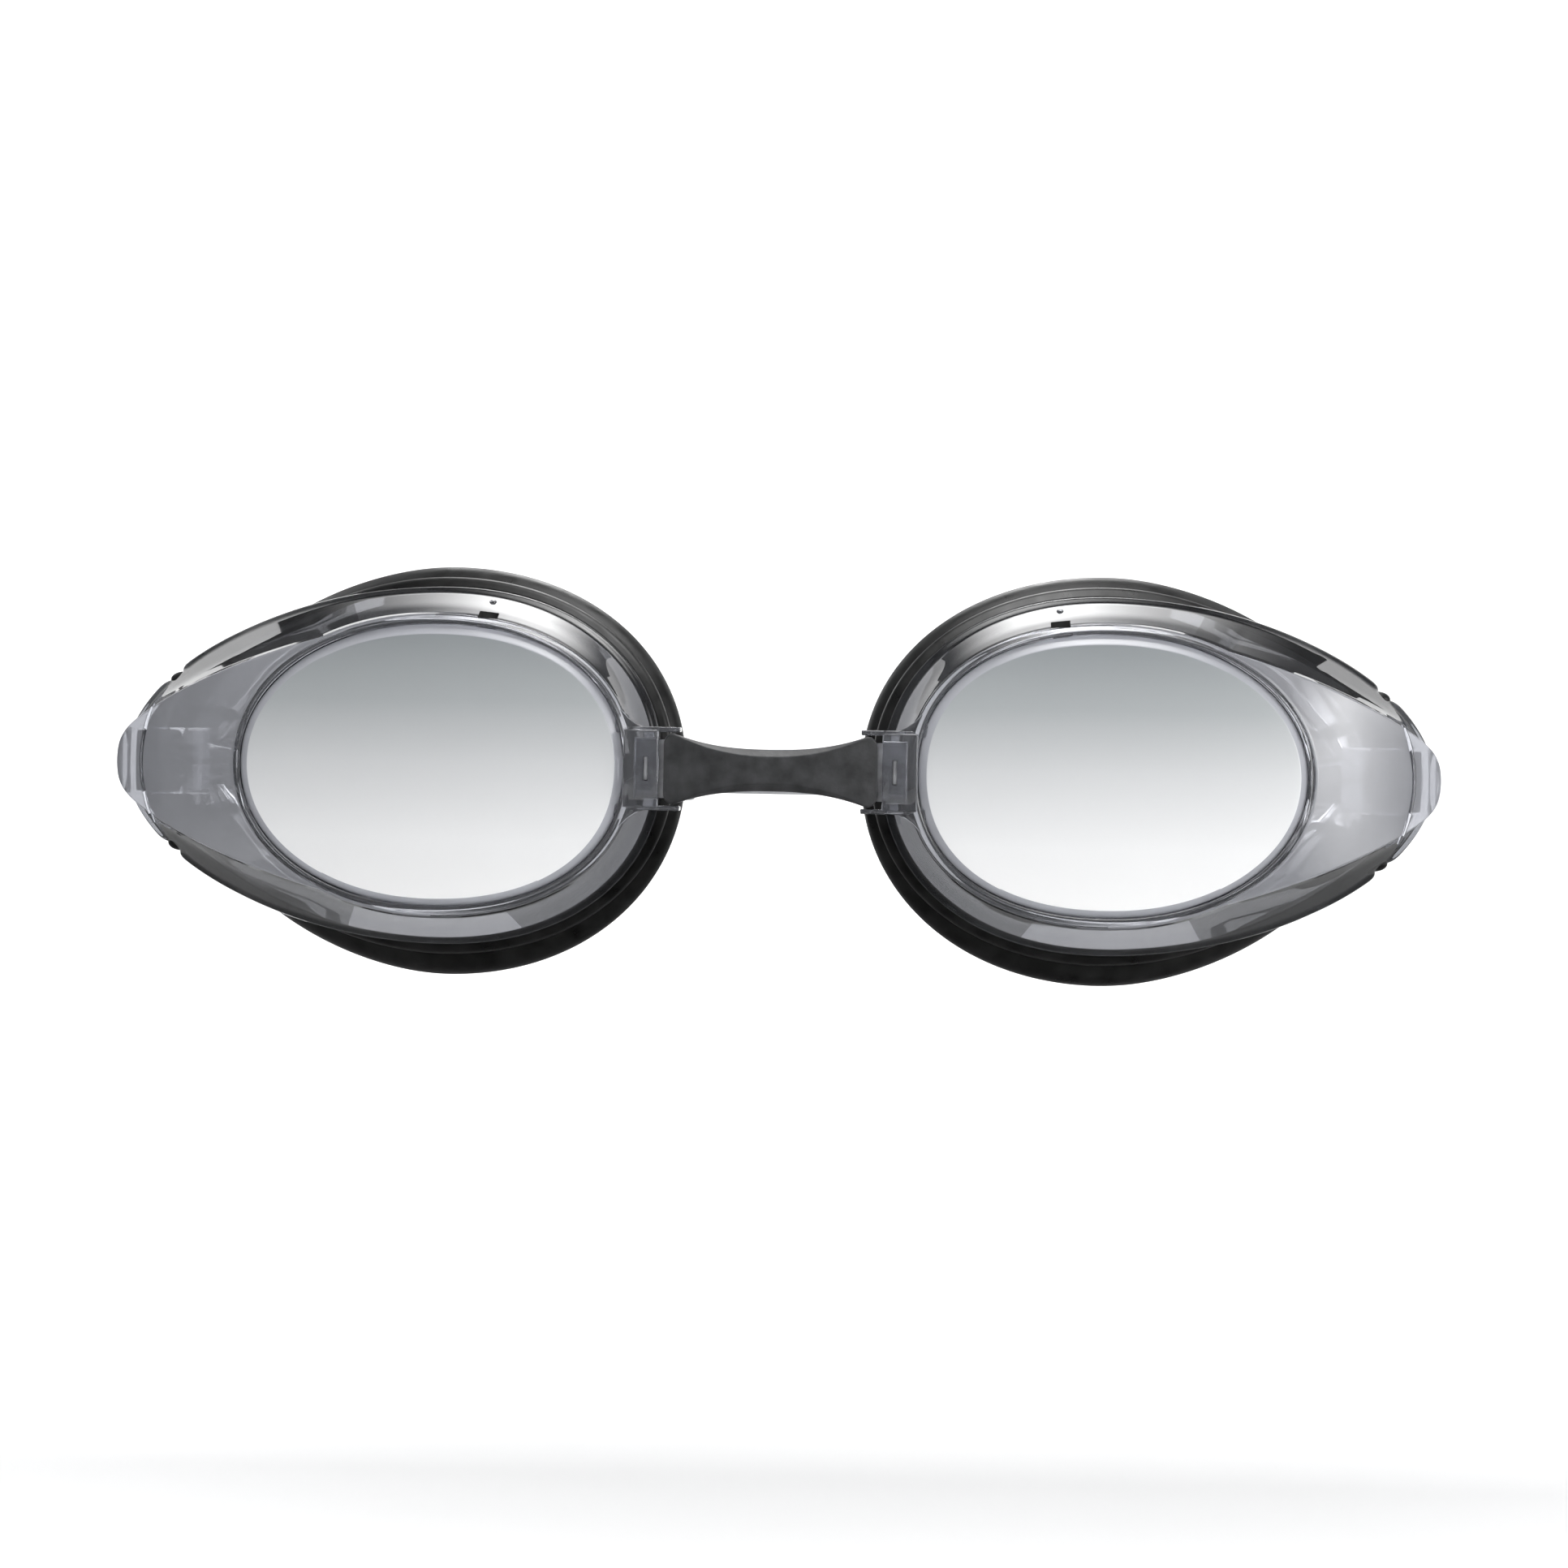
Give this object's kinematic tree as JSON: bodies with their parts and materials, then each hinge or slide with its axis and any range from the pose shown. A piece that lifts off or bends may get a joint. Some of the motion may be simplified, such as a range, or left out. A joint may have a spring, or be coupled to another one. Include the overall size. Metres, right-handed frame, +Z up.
{
  "type": "swim goggles",
  "caption": "Swim goggles with wrap-round tinted eye cups, mirrored oval lenses, soft face seals, a flexing nose bridge and a two-part head strap that slides in a rear buckle.",
  "frame": {"origin": "on the centre line, level with the lens centres, in the plane where the nose sides of the seals meet the face; this is the mount face_seal", "axes": "+X across the face to the right of a picture taken from in front, +Y from the lenses back towards the wearer's head, +Z up"},
  "size_m": [0.1624, 0.1884, 0.0476],
  "materials": {
    "cup_plastic": "clear smoke-tinted polycarbonate, polished",
    "mirrored_lens": "silver mirror coat on the outside, darker at the top and paler towards the bottom",
    "seal_rubber": "soft black elastomer, satin lip and glossy front band",
    "bridge_rubber": "matt charcoal elastomer",
    "strap_silicone": "translucent smoke-grey silicone, satin",
    "buckle_plastic": "black nylon, fine grain"
  },
  "bodies": {
    "bridge": {"nose_bridge": "bridge_rubber"},
    "left_cup": {"left_frame": "cup_plastic", "left_lens": "mirrored_lens", "left_seal": "seal_rubber", "left_bridge_tongue": "bridge_rubber", "left_strap_bar": "cup_plastic"},
    "right_cup": {"right_frame": "cup_plastic", "right_lens": "mirrored_lens", "right_seal": "seal_rubber", "right_bridge_tongue": "bridge_rubber", "right_strap_bar": "cup_plastic"},
    "left_strap": {"left_strap": "strap_silicone"},
    "right_strap": {"right_strap": "strap_silicone"},
    "buckle": {"rear_buckle": "buckle_plastic"},
    "keeper": {"strap_keeper": "strap_silicone"}
  },
  "joints": [
    {"name": "left_cup_flex", "type": "hinge", "parent": "bridge", "child": "left_cup", "pos_m": [-0.0122, -0.0103, 0], "axis": [0, 0, -1], "range_deg": [-8, 8], "stiffness_Nm_per_rad": 0.05},
    {"name": "right_cup_flex", "type": "hinge", "parent": "bridge", "child": "right_cup", "pos_m": [0.0122, -0.0103, 0], "axis": [0, 0, 1], "range_deg": [-8, 8], "stiffness_Nm_per_rad": 0.05},
    {"name": "left_strap_pivot", "type": "hinge", "parent": "left_cup", "child": "left_strap", "pos_m": [-0.0714, 0.0076, 0], "axis": [0, 0, 1], "range_deg": [-8, 8]},
    {"name": "right_strap_pivot", "type": "hinge", "parent": "right_cup", "child": "right_strap", "pos_m": [0.0714, 0.0076, 0], "axis": [0, 0, -1], "range_deg": [-8, 8]},
    {"name": "buckle_slide", "type": "slide", "parent": "left_strap", "child": "buckle", "axis": [1, 0, 0], "range_m": [-0.008, 0.0035]},
    {"name": "keeper_slide", "type": "slide", "parent": "left_strap", "child": "keeper", "axis": [1, 0, 0], "range_m": [-0.0035, 0.015]}
  ],
  "couplings": [
    {"joint": "right_cup_flex", "follows": "left_cup_flex", "ratio": 1},
    {"joint": "left_strap_pivot", "follows": "left_cup_flex", "ratio": 1},
    {"joint": "right_strap_pivot", "follows": "left_cup_flex", "ratio": 1}
  ]
}
